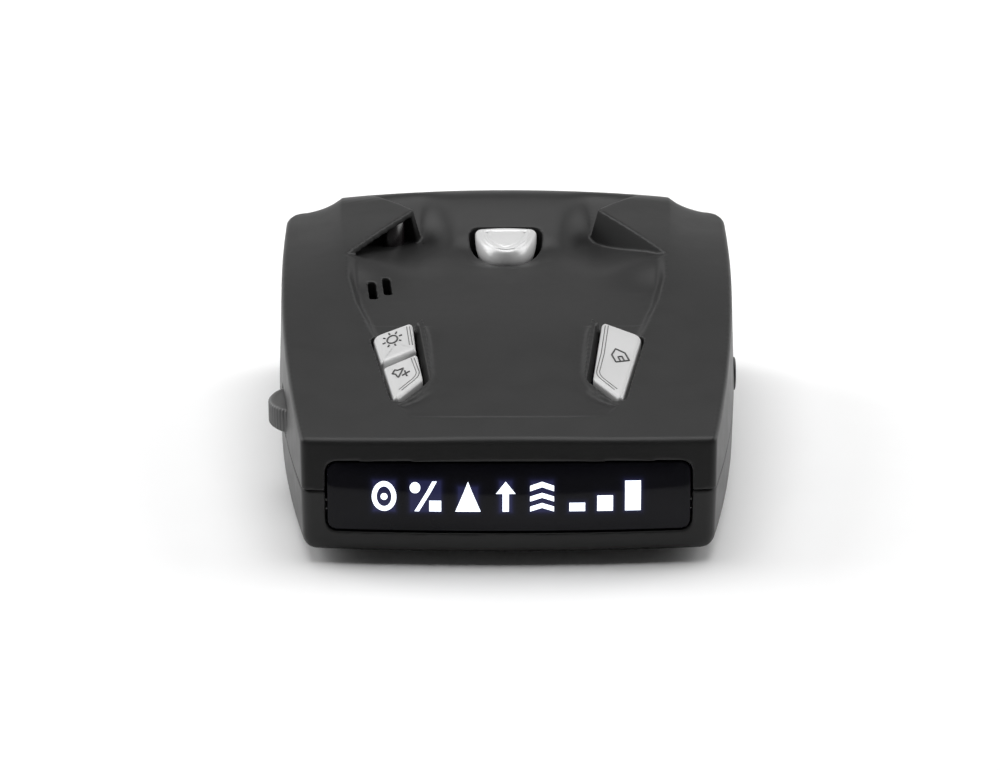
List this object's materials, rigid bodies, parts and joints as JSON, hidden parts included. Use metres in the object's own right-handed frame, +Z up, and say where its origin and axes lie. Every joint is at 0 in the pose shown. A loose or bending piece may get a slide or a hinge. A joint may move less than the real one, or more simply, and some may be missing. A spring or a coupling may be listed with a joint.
{
  "type": "radar detector",
  "caption": "Windscreen radar detector: wedge-shaped case with a display window, top push buttons, side volume wheel, release button and a rear bracket slot.",
  "frame": {"origin": "centre of the bounding box, at the level of the feet's undersides", "axes": "+Z up, the display faces -Y, +X to the right of someone reading the display"},
  "size_m": [0.0718, 0.0932, 0.0294],
  "materials": {
    "case": "soft-touch black plastic with a fine grain",
    "base": "fine-grained black plastic",
    "window": "gloss smoked acrylic",
    "lens": "gloss dark infrared filter",
    "silver": "satin silver paint",
    "wheel": "satin dark grey plastic",
    "steel": "plated steel",
    "chip": "moulded black plastic",
    "socket": "black plastic",
    "rubber": "dull black rubber",
    "label": "blank silver film",
    "board": "green solder mask",
    "panel": "dark display glass",
    "tin": "tinned steel",
    "sleeve": "blue shrink sleeve",
    "plunger": "ivory plastic",
    "brass": "plated brass",
    "die_cast": "as cast",
    "magnet": "dark ferrite",
    "paper": "pressed paper",
    "red": "red insulation",
    "black_wire": "black insulation"
  },
  "bodies": {
    "case": {"top_housing": "case", "bottom_housing": "base", "display_window": "window", "front_laser_lens": "lens", "rear_laser_lens": "lens", "volume_pot": "chip", "bracket_socket": "socket", "release_spring": "steel", "foot_front_left": "rubber", "foot_front_right": "rubber", "foot_rear_left": "rubber", "foot_rear_right": "rubber", "rating_label": "label", "case_screw_1": "steel", "case_screw_2": "steel", "case_screw_3": "steel", "case_screw_4": "steel", "board_screw_1": "steel", "board_screw_2": "steel", "main_board": "board", "display_board": "board", "laser_board": "board", "mixer_board": "board", "display_panel": "panel", "board_header": "chip", "front_photodiode": "lens", "rear_photodiode": "lens", "shield_can": "tin", "processor_chip": "chip", "amplifier_chip": "chip", "crystal": "tin", "capacitor_1": "sleeve", "capacitor_2": "sleeve", "switch_dim_memo": "chip", "switch_mute": "chip", "switch_city": "chip", "dc_jack": "socket", "jack_pin": "brass", "microwave_horn": "die_cast", "speaker_magnet": "magnet", "speaker_frame": "tin", "speaker_cone": "paper", "speaker_wire_red": "red", "speaker_wire_black": "black_wire"},
    "volume": {"volume_wheel": "wheel", "wheel_spindle": "steel"},
    "dim_memo": {"dim_memo_button": "silver", "plunger_dim_memo": "plunger"},
    "mute": {"mute_button": "silver", "plunger_mute": "plunger"},
    "city": {"city_button": "silver", "plunger_city": "plunger"},
    "release": {"release_button": "silver", "bracket_latch": "socket"}
  },
  "joints": [
    {"name": "volume_turn", "type": "hinge", "parent": "case", "child": "volume", "pos_m": [-0.0294, -0.01836, 0.0112], "axis": [0, 0, 1], "range_deg": [-135, 135]},
    {"name": "dim_memo_press", "type": "slide", "parent": "case", "child": "dim_memo", "axis": [0, 0, -1], "range_m": [0, 0.0005], "stiffness_N_per_m": 1000, "springref_m": -0.0004},
    {"name": "mute_press", "type": "slide", "parent": "case", "child": "mute", "axis": [0, 0, -1], "range_m": [0, 0.0005], "stiffness_N_per_m": 1000, "springref_m": -0.0004},
    {"name": "city_press", "type": "slide", "parent": "case", "child": "city", "axis": [0, 0, -1], "range_m": [0, 0.0005], "stiffness_N_per_m": 1000, "springref_m": -0.0004},
    {"name": "release_press", "type": "slide", "parent": "case", "child": "release", "axis": [0, 0, -1], "range_m": [0, 0.0016], "stiffness_N_per_m": 600, "springref_m": -0.001, "deforming": ["release_spring"]}
  ]
}
